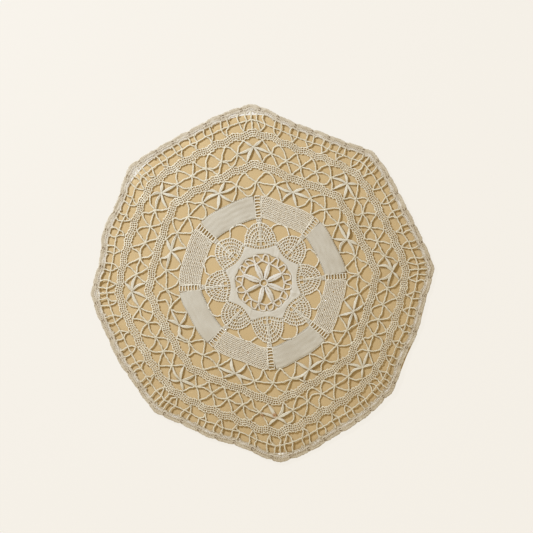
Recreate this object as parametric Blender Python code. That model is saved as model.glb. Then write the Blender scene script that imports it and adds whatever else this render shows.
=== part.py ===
"""Octagonal bobbin-lace tablecloth laid flat on a plain under-cloth. Metres, +Z up, +Y towards the top side.

The lace is worked from the middle outwards: a flower of eight leaves, a plaited ring with loops, a star of
dense cloth, eight fans, a band of eight panels joined by ladders, then three plaited nets held apart by two
mesh braids, and a scalloped edge tape. All of it is thread, so every piece here is a flat plate with the
outline and the openings of that piece.

Outlines are drawn in millimetres on a regular octagon, as points of a flat plan. place() turns a bearing
(degrees clockwise from +Y) and a radius into such a point, and lay() gives every point the slight stretch of
a hand-made cloth as it moves it into the model.
"""

from math import atan2, cos, degrees, floor, hypot, pi, radians, sin

import bpy

MM = 0.001
SIDES = 8
STEP = 360 / SIDES
FIRST_CORNER = -4.5

# How far each corner and each side reaches, against a regular octagon, clockwise from the first corner.
CORNER_REACH = (1.03, 0.98, 0.975, 0.985, 1.03, 0.97, 1.0, 1.03)
SIDE_REACH = (0.99, 0.975, 0.98, 1.018, 0.99, 0.988, 1.02, 1.04)
FULL_STRETCH = 80.0  # the stretch grows from nothing at the centre to its full amount at this radius

# How far each corner has turned (degrees), and how the edge wanders (mm, four values to a side).
CORNER_TURN = (0.1, -0.5, -0.5, 0.1, -1.1, -0.1, 0.8, 0.7)
FULL_TURN = 150.0
EDGE_DRIFT = (
    (0.0, -4.0, -2.5, -3.5),
    (0.0, 1.0, 1.0, 0.5),
    (1.5, -2.0, -0.5, -6.5),
    (-3.5, 0.5, 1.0, 2.5),
    (1.0, -2.5, 1.0, -1.5),
    (0.5, 0.5, 3.0, 0.5),
    (-1.0, -4.5, 1.0, -4.5),
    (-1.5, -2.5, -2.0, 0.0),
)
DRIFT_FROM = 178.0
DRIFT_FULL = 212.0
UNDER_STRETCH = 0.6  # the under-cloth was cut more evenly than the lace lies

# Heights above the table.
UNDER_THICK = 1.0
GAP = 0.3
LACE_BOTTOM = UNDER_THICK + GAP
PLAIT_THICK = 1.6
CLOTH_THICK = 1.3
LEAF_THICK = 1.9
TRAIL_THICK = 1.5

# Centre.
CENTRE_HOLE = 3.7
CENTRE_RING = 6.1
LEAF_REACH = 25.0
LEAF_WIDE = 7.0
PLAIT = 2.0
LOOP_RING = 27.0
LOOP_TOP = 35.0
STAR_HOLE = 36.4
STAR_POINT = 52.5
STAR_VALLEY = 43.5
FAN_FOOT = 49.6  # where a fan's sides stand on the star, out from the centre
FAN_HALF = 20.2
FAN_TALL = 27.2
FAN_SIDE = ((1.0, 0.0), (0.985, 0.16), (0.91, 0.42), (0.8, 0.61))  # below its side plait, as shares
FAN_TOP = ((0.5, 0.86), (0.23, 0.965))  # above it
FAN_ARM = ((11.4, 70.4), (14.6, 75.0), (17.8, 77.4), (20.6, 77.9))  # bearing from the fan's middle, radius
STEM_WIDE = 4.0

# Each ring of the cloth as (reach at the middle of a side, reach at a corner).
PANEL_INNER = (79.3, 82.5)
PANEL_OUTER = (107.0, 109.6)
INNER_NET = (124.8, 126.8)
INNER_TRAIL = (141.7, 150.0)
OUTER_NET = (159.6, 172.0)
OUTER_TRAIL = (180.8, 189.0)
EDGE_NET = (196.0, 205.4)
EDGE = (214.6, 226.3)
UNDER_EDGE = (210.2, 216.2)
UNDER_SHIFT = (1.7, -1.2)  # the under-cloth lies a little to one side

LADDER_WIDE = 7.2
LADDER_SLOTS = 7
LADDER_RAIL = 0.9
SLOT_SHARE = 0.6  # how much of a ladder's step is open
TRAIL_WIDE = 9.8
INNER_WAVE = (4, 1.0)  # waves along one side, and their height
OUTER_WAVE = (6, 1.2)
INNER_STEPS = 4  # crossings of the inner net along one side
OUTER_STEPS = 6
SCALLOPS = 7
SCALLOP_WIDE = 10.3
NOTCH_WIDE = 7.1
SCALLOP_SWELL = 1.1
V_HALF = 0.031  # half the width of an edge net's V at the middle line, as a share of a side
FLOWER_LEAF_WIDE = 3.6
EDGE_GAP = 1.0  # from the ends of the edge net to the tape
TOUCH = 1.9  # from a trail's edge to the middle of the plaits that meet it

# A leaf's outline as (share of its length, share of its half width).
LEAF_PROFILE = ((0.16, 0.42), (0.5, 1.0), (0.84, 0.6))

MATERIALS = {
    "linen_plait": (0.60, 0.56, 0.46, 0.85),
    "linen_cloth": (0.58, 0.53, 0.43, 0.9),
    "linen_braid": (0.62, 0.57, 0.46, 0.85),
    "tan_cotton": (0.60, 0.42, 0.19, 0.95),
}


def clear_scene():
    for obj in list(bpy.data.objects):
        bpy.data.objects.remove(obj, do_unlink=True)


def make_materials():
    for name, (red, green, blue, roughness) in MATERIALS.items():
        material = bpy.data.materials.new(name)
        material.use_nodes = True
        shader = material.node_tree.nodes["Principled BSDF"]
        shader.inputs["Base Color"].default_value = (red, green, blue, 1)
        shader.inputs["Roughness"].default_value = roughness
        shader.inputs["Metallic"].default_value = 0


# Plan geometry: bearings, rings and the lie of the cloth.


def corner(k):
    """Bearing of corner k."""
    return FIRST_CORNER + STEP * k


def along(k, share):
    """Bearing at a share of the way from corner k to the next."""
    return corner(k) + STEP * share


def place(bearing, radius):
    return (radius * sin(radians(bearing)), radius * cos(radians(bearing)))


def local(bearing, across, out):
    """The point across (clockwise) and out from the centre, seen along a bearing."""
    b = radians(bearing)
    return (across * cos(b) + out * sin(b), out * cos(b) - across * sin(b))


REACH = [value for pair in zip(CORNER_REACH, SIDE_REACH) for value in pair]
DRIFT = [value for side in EDGE_DRIFT for value in side]


def around(values, bearing):
    """Eases between values spaced evenly round the cloth from the first corner."""
    turn = (bearing - FIRST_CORNER) / 360 * len(values)
    knot = floor(turn)
    ease = (1 - cos(pi * (turn - knot))) / 2
    first, second = values[knot % len(values)], values[(knot + 1) % len(values)]
    return first + (second - first) * ease


def lay(point, stretch=1.0):
    """Moves a plan point to where it lies, in metres."""
    x, y = point
    radius = hypot(x, y)
    bearing = degrees(atan2(x, y))
    scale = 1 + (around(REACH, bearing) - 1) * stretch * min(1.0, radius / FULL_STRETCH)
    share = min(1.0, max(0.0, (radius - DRIFT_FROM) / (DRIFT_FULL - DRIFT_FROM)))
    drift = around(DRIFT, bearing) * share * stretch
    turn = around(CORNER_TURN, bearing) * stretch * min(1.0, radius / FULL_TURN)
    x, y = place(bearing + turn, radius * scale + drift)
    return (x * MM, y * MM)


def ring_radius(ring, bearing):
    """Radius of an octagon ring with eased corners."""
    middle, at_corner = ring
    half = STEP / 2
    turn = (bearing - FIRST_CORNER) % STEP - half
    sharp = middle / cos(radians(half))
    return middle / cos(radians(turn)) - (sharp - at_corner) * (abs(turn) / half) ** 4


def wave(waves, bearing):
    count, height = waves
    return height * cos(2 * pi * count * (bearing - FIRST_CORNER) / STEP)


def trail_radius(ring, waves, bearing):
    return ring_radius(ring, bearing) + wave(waves, bearing)


def scallop(bearing):
    """How full the edge is, from nothing at a notch to one along most of a scallop."""
    return abs(sin(pi * (SCALLOPS * (bearing - FIRST_CORNER) / STEP - 0.5))) ** 0.4


def edge_radius(bearing):
    """The outline of the edge tape."""
    return ring_radius(EDGE, bearing) + SCALLOP_SWELL * (scallop(bearing) - 0.7)


def tape_inside(bearing):
    return edge_radius(bearing) - NOTCH_WIDE - (SCALLOP_WIDE - NOTCH_WIDE) * scallop(bearing)


def circle(radius_at, points):
    """A closed loop whose radius is a function of the bearing."""
    turns = (FIRST_CORNER + 360 * i / points for i in range(points))
    return [place(bearing, radius_at(bearing)) for bearing in turns]


def arc(radius_at, start, end, points):
    turns = (start + (end - start) * i / (points - 1) for i in range(points))
    return [place(bearing, radius_at(bearing)) for bearing in turns]


def beside(walk, half_width, closed=True):
    """The outline half_width to the left of a walk along struts.

    A strut's free end, where the walk turns back, is cut square, and a sharp outer corner is bevelled.
    """
    outline = []
    for i, (x, y) in enumerate(walk):
        before = walk[i - 1]
        after = walk[(i + 1) % len(walk)]
        into = (x - before[0], y - before[1])
        away = (after[0] - x, after[1] - y)
        into_long, away_long = hypot(*into), hypot(*away)
        left_in = (-into[1] / into_long, into[0] / into_long)
        left_out = (-away[1] / away_long, away[0] / away_long)
        dot = left_in[0] * left_out[0] + left_in[1] * left_out[1]
        turn = into[0] * away[1] - into[1] * away[0]
        if dot < -0.999 or (dot < -0.2 and turn < 0):
            outline.append((x + left_in[0] * half_width, y + left_in[1] * half_width))
            outline.append((x + left_out[0] * half_width, y + left_out[1] * half_width))
            continue
        mitre = half_width / (1 + dot)
        outline.append((x + (left_in[0] + left_out[0]) * mitre, y + (left_in[1] + left_out[1]) * mitre))
    return outline


# Solids.


def plate(
    name, outline, holes=(), thick=PLAIT_THICK, bottom=LACE_BOTTOM, material="linen_plait", stretch=1.0
):
    """A flat solid with the given outline and openings, all in plan millimetres."""
    curve = bpy.data.curves.new(name, "CURVE")
    curve.dimensions = "2D"
    curve.fill_mode = "BOTH"
    curve.extrude = thick * MM / 2
    for loop in (outline, *holes):
        spline = curve.splines.new("POLY")
        spline.points.add(len(loop) - 1)
        for point, plan in zip(spline.points, loop):
            point.co = (*lay(plan, stretch), 0, 1)
        spline.use_cyclic_u = True
    obj = bpy.data.objects.new(name, curve)
    obj.location.z = (bottom + thick / 2) * MM
    obj.data.materials.append(bpy.data.materials[material])
    bpy.context.scene.collection.objects.link(obj)


def leaf(start, tip, half_width):
    """The two sides and the tip of a leaf, from the right of its start round to the left."""
    long_x, long_y = tip[0] - start[0], tip[1] - start[1]
    length = hypot(long_x, long_y)
    right = (long_y / length, -long_x / length)

    def side(sign, profile):
        return [
            (
                start[0] + long_x * share + sign * right[0] * half_width * wide,
                start[1] + long_y * share + sign * right[1] * half_width * wide,
            )
            for share, wide in profile
        ]

    return [*side(1, LEAF_PROFILE), tip, *side(-1, reversed(LEAF_PROFILE))]


def towards(start, end, short=0.0):
    """The point on the way from start to end that stops short of it."""
    length = hypot(end[0] - start[0], end[1] - start[1])
    share = 1 - short / length
    return (start[0] + (end[0] - start[0]) * share, start[1] + (end[1] - start[1]) * share)


def make_under_cloth():
    outline = circle(lambda bearing: ring_radius(UNDER_EDGE, bearing), 64)
    outline = [(x + UNDER_SHIFT[0], y + UNDER_SHIFT[1]) for x, y in outline]
    plate("under_cloth", outline, (), UNDER_THICK, 0.0, "tan_cotton", UNDER_STRETCH)


def make_centre_flower():
    """A small plaited ring with eight broad leaves."""
    outline = []
    for k in range(SIDES):
        bearing = along(k, 0.5)
        outline += reversed(leaf(place(bearing, CENTRE_RING - 2), place(bearing, LEAF_REACH), LEAF_WIDE / 2))
        outline.append(place(bearing + STEP / 2, CENTRE_RING))
    hole = circle(lambda bearing: CENTRE_HOLE, 16)
    plate("centre_flower", outline, [hole], LEAF_THICK)


def make_loop_ring():
    """A plaited ring with a loop over every half step, each reaching the star."""
    loops = 2 * SIDES
    step = 360 / loops

    def height(bearing):
        return sin(pi * (((bearing - along(0, 0.5)) / step) % 1)) ** 0.8

    def outside(bearing):
        return LOOP_RING + PLAIT / 2 + (LOOP_TOP - LOOP_RING) * height(bearing)

    holes = []
    for j in range(loops):
        middle = along(0, 0.5) + step * (j + 0.5)
        top = arc(lambda bearing: outside(bearing) - PLAIT, middle - step * 0.3, middle + step * 0.3, 5)
        base = arc(lambda bearing: LOOP_RING + PLAIT / 2, middle + step * 0.3, middle - step * 0.3, 2)
        holes.append(top + base)
    outline = circle(outside, loops * 6)
    plate("loop_ring", outline, [circle(lambda bearing: LOOP_RING - PLAIT / 2, 48), *holes])


def star_radius(bearing):
    """The star's outer edge: points at the middle of each side, hollows where the fans sit."""
    turn = abs((bearing - FIRST_CORNER) % STEP - STEP / 2) / (STEP / 2)
    return STAR_POINT - (STAR_POINT - STAR_VALLEY) * (1 - (1 - turn) ** 2)


def make_star_band():
    outline = circle(star_radius, SIDES * 12)
    hole = circle(lambda bearing: STAR_HOLE, 64)
    plate("star_band", outline, [hole], CLOTH_THICK, material="linen_cloth")


def make_fan(k):
    """A domed fan on the star's hollow, its two side plaits, and the ladder it feeds between two panels."""
    middle = corner(k)
    end = STEP / 2 - 0.7
    base = arc(lambda bearing: star_radius(bearing) + GAP, middle + end, middle - end, 9)

    def dome(sign, shares):
        return [local(middle, sign * FAN_HALF * wide, FAN_FOOT + FAN_TALL * tall) for wide, tall in shares]

    def arm(sign):
        """The outline of a side plait, along one side to its head by the panel and back along the other."""
        out = [place(middle + sign * turn, radius) for turn, radius in FAN_ARM]
        strip = beside([*out, *out[-2:0:-1]], PLAIT / 2)
        return [*strip[1:], strip[0]]

    half = LADDER_WIDE / 2 - GAP
    stem = STEM_WIDE / 2
    inner = ring_radius(PANEL_INNER, middle)
    outer = ring_radius(PANEL_OUTER, middle)
    tip = FAN_FOOT + FAN_TALL
    ladder = [(-stem, tip), (-stem, inner), (-half, inner), (-half, outer)]
    ladder += [(-across, out) for across, out in reversed(ladder)]
    outline = [base[-1], *dome(-1, FAN_SIDE), *arm(-1), *dome(-1, FAN_TOP)]
    outline += [local(middle, across, out) for across, out in ladder]
    outline += [*dome(1, FAN_TOP[::-1]), *arm(1), *dome(1, FAN_SIDE[::-1]), *base[:-1]]
    wide = half - LADDER_RAIL
    pitch = (outer - inner - LADDER_RAIL) / LADDER_SLOTS
    lows = [inner + LADDER_RAIL + pitch * j for j in range(LADDER_SLOTS)]
    slots = [slot(middle, wide, low, pitch * SLOT_SHARE) for low in lows]
    slots.append(slot(middle, stem / 2, tip + LADDER_RAIL, inner - tip - 2 * LADDER_RAIL))
    plate(f"fan_{k + 1}", outline, slots, CLOTH_THICK, material="linen_braid")


def slot(middle, half_wide, low, tall):
    """An opening across a ladder."""
    corners = ((-half_wide, low), (-half_wide, low + tall), (half_wide, low + tall), (half_wide, low))
    return [local(middle, across, out) for across, out in corners]


def make_panel(k):
    """One side of the band, between two ladders. Dense cloth and open half stitch alternate."""
    half = LADDER_WIDE / 2

    def edge(ring, points, backwards=False):
        radius = ring_radius(ring, corner(k))
        margin = degrees(half / radius)
        ends = (corner(k) + margin, corner(k + 1) - margin)
        start, end = reversed(ends) if backwards else ends
        return arc(lambda bearing: ring_radius(ring, bearing), start, end, points)

    outline = edge(PANEL_OUTER, 9) + edge(PANEL_INNER, 9, backwards=True)
    kind = "open_panel" if k % 2 == 0 else "cloth_panel"
    plate(f"{kind}_{k // 2 + 1}", outline, (), CLOTH_THICK, material="linen_cloth")


class Net:
    """A chain of crossings along a ring, with plaits from each crossing to the rings on both sides."""

    def __init__(self, ring, steps, inside, outside):
        self.ring = ring
        self.steps = steps
        self.inside = inside  # radius of the edge that the net meets on its inner side, by bearing
        self.outside = outside

    def bearing(self, k, step):
        return along(k, step / self.steps)

    def crossing(self, k, step):
        bearing = self.bearing(k, step)
        return place(bearing, ring_radius(self.ring, bearing))

    def low(self, k, step):
        bearing = self.bearing(k, step)
        return place(bearing, self.inside(bearing) + TOUCH)

    def high(self, k, step):
        bearing = self.bearing(k, step)
        return place(bearing, self.outside(bearing) - TOUCH)

    def make_piece(self, name, k, first, last):
        """The plaits between two flowers, from crossing first to crossing last."""
        crossings = range(first, last + 1)
        walk = []
        for step in crossings:
            if step == first:
                walk.append(self.high(k, step - 0.5))
            walk += [self.crossing(k, step), self.high(k, step + 0.5)]
        for step in reversed(crossings):
            if step == last:
                walk += [self.crossing(k, step), self.low(k, step + 0.5)]
            walk += [self.crossing(k, step), self.low(k, step - 0.5)]
        walk.append(self.crossing(k, first))
        holes = []
        for step in range(first, last):
            ends = self.crossing(k, step), self.crossing(k, step + 1)
            holes.append(beside([ends[0], ends[1], self.high(k, step + 0.5)], PLAIT / 2))
            holes.append(beside([ends[1], ends[0], self.low(k, step + 0.5)], PLAIT / 2))
        plate(name, beside(walk, PLAIT / 2), holes)

    def make_flower(self, name, k, step):
        """Six leaves from one crossing to what is round it."""
        middle = self.crossing(k, step)
        short = 1.7 + GAP
        tips = [
            self.high(k, step - 0.5),
            self.high(k, step + 0.5),
            self.crossing(k, step + 1),
            self.low(k, step + 0.5),
            self.low(k, step - 0.5),
            self.crossing(k, step - 1),
        ]
        outline = []
        for tip in tips:
            outline += reversed(leaf(middle, towards(middle, tip, short), FLOWER_LEAF_WIDE / 2))
        plate(name, outline, (), LEAF_THICK)


def inner_trail(bearing):
    return trail_radius(INNER_TRAIL, INNER_WAVE, bearing)


def outer_trail(bearing):
    return trail_radius(OUTER_TRAIL, OUTER_WAVE, bearing)


def make_trail(name, centre_line, points):
    outline = circle(lambda bearing: centre_line(bearing) + TRAIL_WIDE / 2, points)
    hole = circle(lambda bearing: centre_line(bearing) - TRAIL_WIDE / 2, points)
    plate(name, outline, [hole], TRAIL_THICK, material="linen_braid")


def make_nets():
    half = TRAIL_WIDE / 2
    inner = Net(
        INNER_NET, INNER_STEPS, lambda b: ring_radius(PANEL_OUTER, b), lambda b: inner_trail(b) - half
    )
    outer = Net(
        OUTER_NET, OUTER_STEPS, lambda b: inner_trail(b) + half, lambda b: outer_trail(b) - half
    )
    for k in range(SIDES):
        inner.make_piece(f"inner_net_{k + 1}", k, -1, 1)
        inner.make_flower(f"side_flower_{k + 1}", k, INNER_STEPS / 2)
        outer.make_piece(f"outer_net_{k + 1}", k, 1, OUTER_STEPS - 1)
        outer.make_flower(f"corner_flower_{k + 1}", k, 0)


def make_edge_net():
    """A ring plait crossed by a V of plaits under every notch of the edge, and by one at each corner."""

    def on_line(bearing):
        return place(bearing, ring_radius(EDGE_NET, bearing))

    def head(bearing):
        return place(bearing, tape_inside(bearing) - EDGE_GAP)

    def foot(bearing, rise):
        return place(bearing, outer_trail(bearing) + TRAIL_WIDE / 2 + rise)

    outside, inside, holes = [], [], []
    spread = STEP * V_HALF
    for k in range(SIDES):
        bend = on_line(corner(k))
        outside += [bend, head(corner(k)), bend]
        inside += [bend, foot(corner(k), GAP), bend]
        for j in range(SCALLOPS):
            middle = along(k, (j + 0.5) / SCALLOPS)
            left, right = on_line(middle - spread), on_line(middle + spread)
            apex = foot(middle, TOUCH)
            outside += [left, head(middle - spread), left, right, head(middle + spread), right]
            inside += [left, apex, right]
            holes.append(beside([right, left, apex], PLAIT / 2))
    outline = beside(outside, PLAIT / 2)
    opening = beside(inside[::-1], PLAIT / 2)
    plate("edge_net", outline, [opening, *holes])


def make_edge_tape():
    steps = SIDES * SCALLOPS
    outline = circle(edge_radius, steps * 2)
    hole = circle(tape_inside, steps * 4)
    plate("edge_tape", outline, [hole], TRAIL_THICK, material="linen_cloth")


def main():
    clear_scene()
    make_materials()
    make_under_cloth()
    make_centre_flower()
    make_loop_ring()
    make_star_band()
    for k in range(SIDES):
        make_fan(k)
        make_panel(k)
    make_trail("inner_trail", inner_trail, SIDES * OUTER_STEPS * 2)
    make_trail("outer_trail", outer_trail, SIDES * OUTER_STEPS * 2)
    make_nets()
    make_edge_net()
    make_edge_tape()


main()
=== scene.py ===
"""The looks of an octagonal bobbin-lace tablecloth laid flat on a plain tan under-cloth.

All lengths here are in millimetres on a flat plan until lay() moves them into the model, which is in
metres. Only the relief of the materials and the studio are in metres from the start. A point of the plan
is a complex number: its real part runs along +X and its imaginary part along +Y. Bearings are degrees
clockwise from +Y. Every piece of lace is built from threads, plaits, leaves and woven cloth, which are all
lofts of closed sections along a path.
"""

import bpy
import numpy as np
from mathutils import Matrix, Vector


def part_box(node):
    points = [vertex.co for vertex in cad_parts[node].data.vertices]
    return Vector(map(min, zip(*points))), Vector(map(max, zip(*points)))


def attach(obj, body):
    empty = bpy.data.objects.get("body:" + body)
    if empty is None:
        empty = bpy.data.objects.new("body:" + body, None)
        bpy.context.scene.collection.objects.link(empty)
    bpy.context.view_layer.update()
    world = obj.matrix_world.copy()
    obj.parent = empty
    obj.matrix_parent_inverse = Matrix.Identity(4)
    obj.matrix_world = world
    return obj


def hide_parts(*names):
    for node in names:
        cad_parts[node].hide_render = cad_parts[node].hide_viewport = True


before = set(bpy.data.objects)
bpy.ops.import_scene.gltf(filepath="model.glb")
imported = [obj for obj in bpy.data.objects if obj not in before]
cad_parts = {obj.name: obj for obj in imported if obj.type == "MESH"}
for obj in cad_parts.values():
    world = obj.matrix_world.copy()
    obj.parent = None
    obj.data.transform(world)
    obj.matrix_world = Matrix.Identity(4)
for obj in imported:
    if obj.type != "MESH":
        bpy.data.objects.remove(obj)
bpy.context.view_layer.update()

MM = 0.001
TAU = 2 * np.pi
SIDES = 8
STEP = 360 / SIDES
FIRST_CORNER = -4.5

# How the hand-made cloth departs from a regular octagon, clockwise from the first corner: how far each
# corner and each side reaches, how far each corner has turned (degrees), and how the edge wanders (mm,
# four to a side).
CORNER_REACH = (1.03, 0.98, 0.975, 0.985, 1.03, 0.97, 1.0, 1.03)
SIDE_REACH = (0.99, 0.975, 0.98, 1.018, 0.99, 0.988, 1.02, 1.04)
CORNER_TURN = (0.1, -0.5, -0.5, 0.1, -1.1, -0.1, 0.8, 0.7)
EDGE_DRIFT = (
    (0.0, -4.0, -2.5, -3.5),
    (0.0, 1.0, 1.0, 0.5),
    (1.5, -2.0, -0.5, -6.5),
    (-3.5, 0.5, 1.0, 2.5),
    (1.0, -2.5, 1.0, -1.5),
    (0.5, 0.5, 3.0, 0.5),
    (-1.0, -4.5, 1.0, -4.5),
    (-1.5, -2.5, -2.0, 0.0),
)
FULL_STRETCH = 80.0
FULL_TURN = 150.0
DRIFT_FROM = 178.0
DRIFT_FULL = 212.0

# The top of the under-cloth above the table, as in the frame.
_, under_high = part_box("under_cloth")
UNDER_TOP = under_high[2] / MM

# Rings of the plan as (reach at the middle of a side, reach at a corner).
PANEL_INNER = (79.3, 82.5)
PANEL_OUTER = (107.0, 109.6)
INNER_NET = (124.8, 126.8)
INNER_TRAIL = (141.7, 150.0)
OUTER_NET = (159.6, 172.0)
OUTER_TRAIL = (180.8, 189.0)
EDGE_NET = (196.0, 205.4)
EDGE = (214.6, 226.3)
UNDER_EDGE = (210.2, 216.2)
UNDER_STRETCH = 0.6
UNDER_SHIFT = (1.7, -1.2)

# The middle flower: where each leaf tip and each point between two tips was pinned, as (bearing, radius).
LEAF_TIPS = (
    (-23.8, 25.8),
    (16.1, 25.8),
    (63.4, 25.9),
    (110.3, 26.6),
    (154.3, 27.3),
    (193.0, 26.5),
    (242.9, 25.4),
    (290.9, 27.4),
)
LOOP_POINTS = (
    (-5.6, 28.1),
    (43.0, 26.1),
    (89.2, 26.8),
    (134.6, 28.3),
    (174.0, 28.6),
    (216.4, 26.9),
    (264.7, 28.1),
    (316.3, 28.5),
)
CENTRE_RING = 4.9
CENTRE_RING_HALF = 1.15
LEAF_HALVES = (3.6, 3.1, 3.7, 3.6, 3.7, 3.2, 2.5, 3.6)
LEAF_FROM = 5.9
STAR_HOLE = 37.0
STAR_POINT = 52.5
STAR_VALLEY = 43.5

PLAIT_HALF = 1.05
PLAIT_HIGH = 0.72
TRAIL_WIDE = 9.4
TRAIL_ROWS = 3
TRAIL_PITCH = 2.75
INNER_STEPS = 4
OUTER_STEPS = 6
INNER_WAVE = (4, 1.0)
OUTER_WAVE = (6, 1.2)
SCALLOPS = 7
SCALLOP_WIDE = 9.4
NOTCH_WIDE = 8.6
V_HALF = 0.031
LADDER_WIDE = 7.2


# The plan.


def place(bearing, radius):
    return radius * 1j * np.exp(-1j * np.radians(bearing))


def local(bearing, across, out):
    return (across + 1j * out) * np.exp(-1j * np.radians(bearing))


def bearing_of(plan):
    return np.degrees(np.arctan2(plan.real, plan.imag))


def corner(k):
    return FIRST_CORNER + STEP * k


def along(k, share):
    return corner(k) + STEP * share


def around(values, bearing):
    """Eases between values spaced evenly round the cloth from the first corner."""
    values = np.asarray(values, float)
    turn = (bearing - FIRST_CORNER) / 360 * len(values)
    knot = np.floor(turn).astype(int)
    ease = (1 - np.cos(np.pi * (turn - knot))) / 2
    first = values[knot % len(values)]
    second = values[(knot + 1) % len(values)]
    return first + (second - first) * ease


REACH = [value for pair in zip(CORNER_REACH, SIDE_REACH) for value in pair]
DRIFT = [value for side in EDGE_DRIFT for value in side]


def lay(plan, height, stretch=1.0):
    """Moves plan points and their heights into the model, with the cloth's own stretch and turn."""
    radius = np.abs(plan)
    bearing = bearing_of(plan)
    scale = 1 + (around(REACH, bearing) - 1) * stretch * np.minimum(1, radius / FULL_STRETCH)
    drift = around(DRIFT, bearing) * np.clip((radius - DRIFT_FROM) / (DRIFT_FULL - DRIFT_FROM), 0, 1)
    turn = around(CORNER_TURN, bearing) * np.minimum(1, radius / FULL_TURN)
    moved = place(bearing + turn * stretch, radius * scale + drift * stretch)
    return np.stack([moved.real, moved.imag, height], -1) * MM


def ring_radius(ring, bearing):
    middle, at_corner = ring
    half = STEP / 2
    turn = (np.asarray(bearing) - FIRST_CORNER) % STEP - half
    sharp = middle / np.cos(np.radians(half))
    return middle / np.cos(np.radians(turn)) - (sharp - at_corner) * (np.abs(turn) / half) ** 4


def trail_radius(ring, wave, bearing):
    count, height = wave
    return ring_radius(ring, bearing) + height * np.cos(TAU * count * (bearing - FIRST_CORNER) / STEP)


def inner_trail(bearing):
    return trail_radius(INNER_TRAIL, INNER_WAVE, bearing)


def outer_trail(bearing):
    return trail_radius(OUTER_TRAIL, OUTER_WAVE, bearing)


def edge_width(bearing):
    swell = np.abs(np.sin(np.pi * (SCALLOPS * (bearing - FIRST_CORNER) / STEP - 0.5)))
    return NOTCH_WIDE + (SCALLOP_WIDE - NOTCH_WIDE) * swell**0.4


def edge_radius(bearing):
    """The outline swells a little at every scallop."""
    swell = (edge_width(bearing) - NOTCH_WIDE) / (SCALLOP_WIDE - NOTCH_WIDE)
    return ring_radius(EDGE, bearing) + 1.1 * swell - 0.8


def star_radius(bearing):
    turn = np.abs((bearing - FIRST_CORNER) % STEP - STEP / 2) / (STEP / 2)
    return STAR_POINT - (STAR_POINT - STAR_VALLEY) * (1 - (1 - turn) ** 2)


class Track:
    """A smooth line through plan points, measured by its length."""

    def __init__(self, points, closed=False):
        p = np.asarray(points, complex)
        if closed:
            p = np.concatenate([p[-1:], p, p[:2]])
        else:
            p = np.concatenate([[2 * p[0] - p[1]], p, [2 * p[-1] - p[-2]]])
        t = np.linspace(0, 1, 13)[:-1]
        a, b, c, d = (q[:, None] for q in (p[:-3], p[1:-2], p[2:-1], p[3:]))
        bends = (2 * a - 5 * b + 4 * c - d) * t**2 + (3 * b - a - 3 * c + d) * t**3
        line = (0.5 * (2 * b + (c - a) * t + bends)).ravel()
        self.line = np.append(line, p[-2])
        self.marks = np.concatenate([[0], np.cumsum(np.abs(np.diff(self.line)))])
        self.length = self.marks[-1]
        self.closed = closed

    def steps(self, spacing):
        """Marks along the line about spacing apart. A closed line leaves out its last, which is its first."""
        count = max(3, round(self.length / spacing) + 1)
        marks = np.linspace(0, self.length, count)
        return marks[:-1] if self.closed else marks

    def centre(self, mark):
        mark = np.mod(mark, self.length) if self.closed else np.clip(mark, 0, self.length)
        return np.interp(mark, self.marks, self.line.real) + 1j * np.interp(mark, self.marks, self.line.imag)

    def at(self, mark, across=0.0):
        """The point at a mark, moved across to the left of the way the line runs."""
        ahead = self.centre(mark + 0.4) - self.centre(mark - 0.4)
        return self.centre(mark) + 1j * ahead / np.maximum(np.abs(ahead), 1e-9) * across


def ring_track(radius_at, points):
    turns = FIRST_CORNER + np.arange(points) * 360 / points
    return Track(place(turns, radius_at(turns)), closed=True)


def ripple(marks, length, amount, rng):
    """A soft uneven wave along a line. It closes on itself over the line's whole length."""
    total = marks[-1] + (marks[1] - marks[0])
    wave = 0
    for share, weight in ((1, 1.0), (0.53, 0.55), (0.29, 0.3)):
        turns = max(1, round(total / (length * share)))
        wave = wave + weight * np.sin(TAU * (turns * marks / total + rng.random()))
    return amount * wave / 1.3


# Threadwork.


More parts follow.
